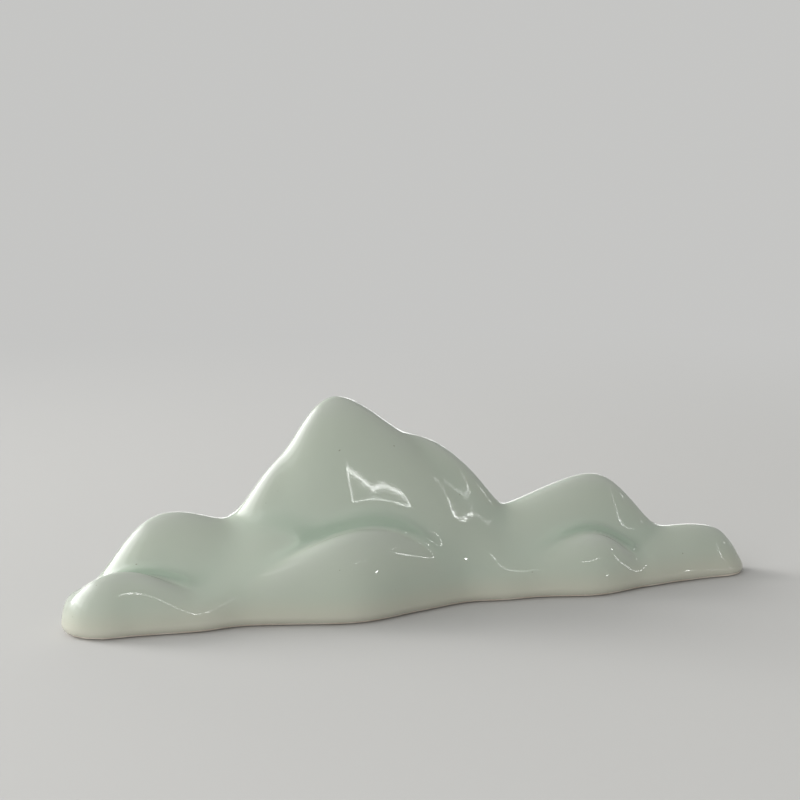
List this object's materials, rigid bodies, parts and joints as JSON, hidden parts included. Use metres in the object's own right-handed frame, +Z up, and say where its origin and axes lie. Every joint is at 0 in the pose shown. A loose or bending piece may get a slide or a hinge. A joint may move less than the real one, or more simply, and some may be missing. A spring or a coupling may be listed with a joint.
{
  "type": "brush rest",
  "caption": "Glazed porcelain brush rest shaped as a mountain range, built as a hollow body on a slab; brushes lie across the two saddles between its summits.",
  "frame": {"origin": "on the table plane, under the middle of the overall box", "axes": "+X along the range towards the low end, -Y to the front with the foothills, +Z up"},
  "size_m": [0.1751, 0.0349, 0.0506],
  "materials": {
    "cast_body": "bare fired porcelain, fine and matt",
    "base_slab": "bare fired porcelain, wiped flat and matt",
    "luting_seam": "fired slip, matt, a little rougher than the slab",
    "glaze_coat": "glossy pale grey-green celadon glass, thin and pale on the crests, pooled in the creases"
  },
  "bodies": {
    "root": {"cast_body": "cast_body", "base_slab": "base_slab", "luting_seam": "luting_seam", "glaze_coat": "glaze_coat"}
  },
  "joints": []
}
